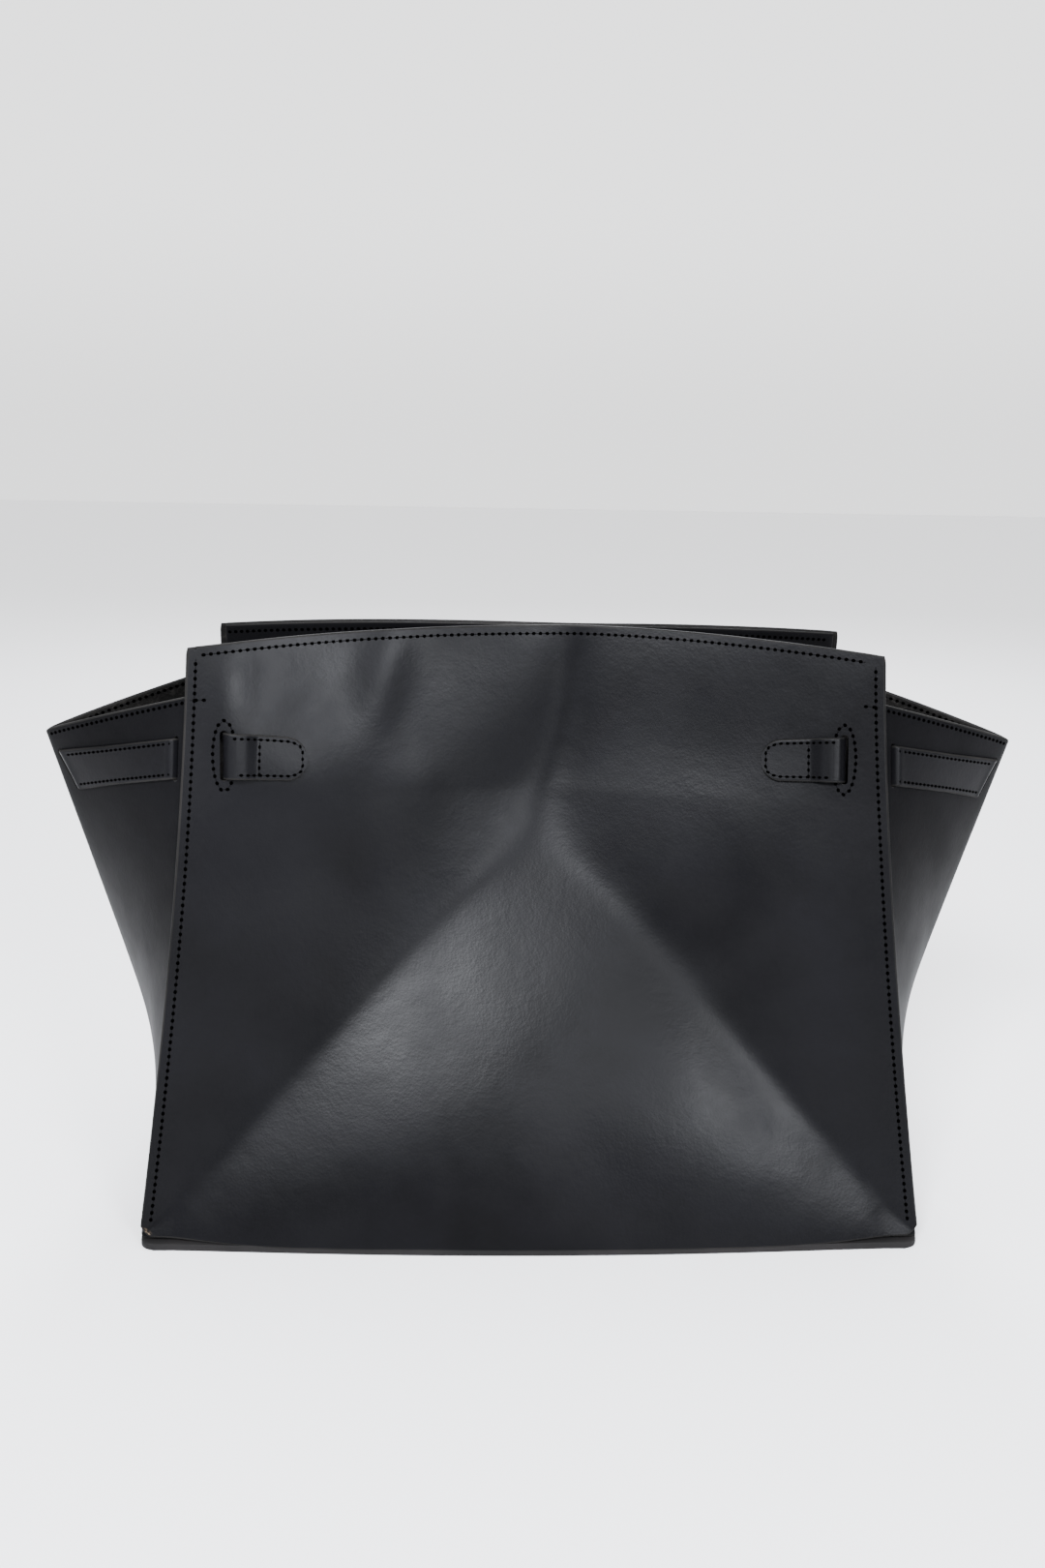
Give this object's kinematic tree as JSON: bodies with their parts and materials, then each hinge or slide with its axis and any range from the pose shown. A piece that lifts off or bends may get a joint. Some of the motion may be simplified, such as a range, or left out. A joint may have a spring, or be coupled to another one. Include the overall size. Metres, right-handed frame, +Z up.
{
  "type": "satchel bag",
  "caption": "Stiff black leather open-topped bag with folded side gussets and slotted side belts; the mouth flexes open.",
  "frame": {"origin": "middle of the underside, on the surface the bag stands on", "axes": "+Z up, -Y the front face, +X to the right when looking at the front"},
  "size_m": [0.4382, 0.1878, 0.2572],
  "materials": {
    "panel_leather": "smooth semi-gloss black",
    "gusset_leather": "smooth semi-gloss black",
    "belt_leather": "smooth black with a painted edge",
    "flesh_side_leather": "rough flesh side",
    "sole_leather": "matt black",
    "board": "leather board"
  },
  "bodies": {
    "base": {"sole": "sole_leather", "base_board": "board", "gusset_left": "gusset_leather", "gusset_right": "gusset_leather", "belt_front_left": "belt_leather", "belt_front_right": "belt_leather", "belt_back_left": "belt_leather", "belt_back_right": "belt_leather"},
    "front": {"front_panel": "panel_leather", "front_rim_facing": "flesh_side_leather", "tab_front_left": "belt_leather", "tab_front_right": "belt_leather", "slot_patch_front_left": "flesh_side_leather", "slot_patch_front_right": "flesh_side_leather"},
    "back": {"back_panel": "panel_leather", "back_rim_facing": "flesh_side_leather", "tab_back_left": "belt_leather", "tab_back_right": "belt_leather", "slot_patch_back_left": "flesh_side_leather", "slot_patch_back_right": "flesh_side_leather"}
  },
  "joints": [
    {"name": "front_opens", "type": "hinge", "parent": "base", "child": "front", "pos_m": [0, -0.088, 0.0015], "axis": [1, 0, 0], "range_deg": [0, 5], "deforming": ["gusset_left", "gusset_right", "belt_front_left", "belt_front_right"]},
    {"name": "back_opens", "type": "hinge", "parent": "base", "child": "back", "pos_m": [0, 0.088, 0.0015], "axis": [-1, 0, 0], "range_deg": [0, 5], "deforming": ["gusset_left", "gusset_right", "belt_back_left", "belt_back_right"]}
  ],
  "couplings": [
    {"joint": "back_opens", "follows": "front_opens", "ratio": 1}
  ]
}
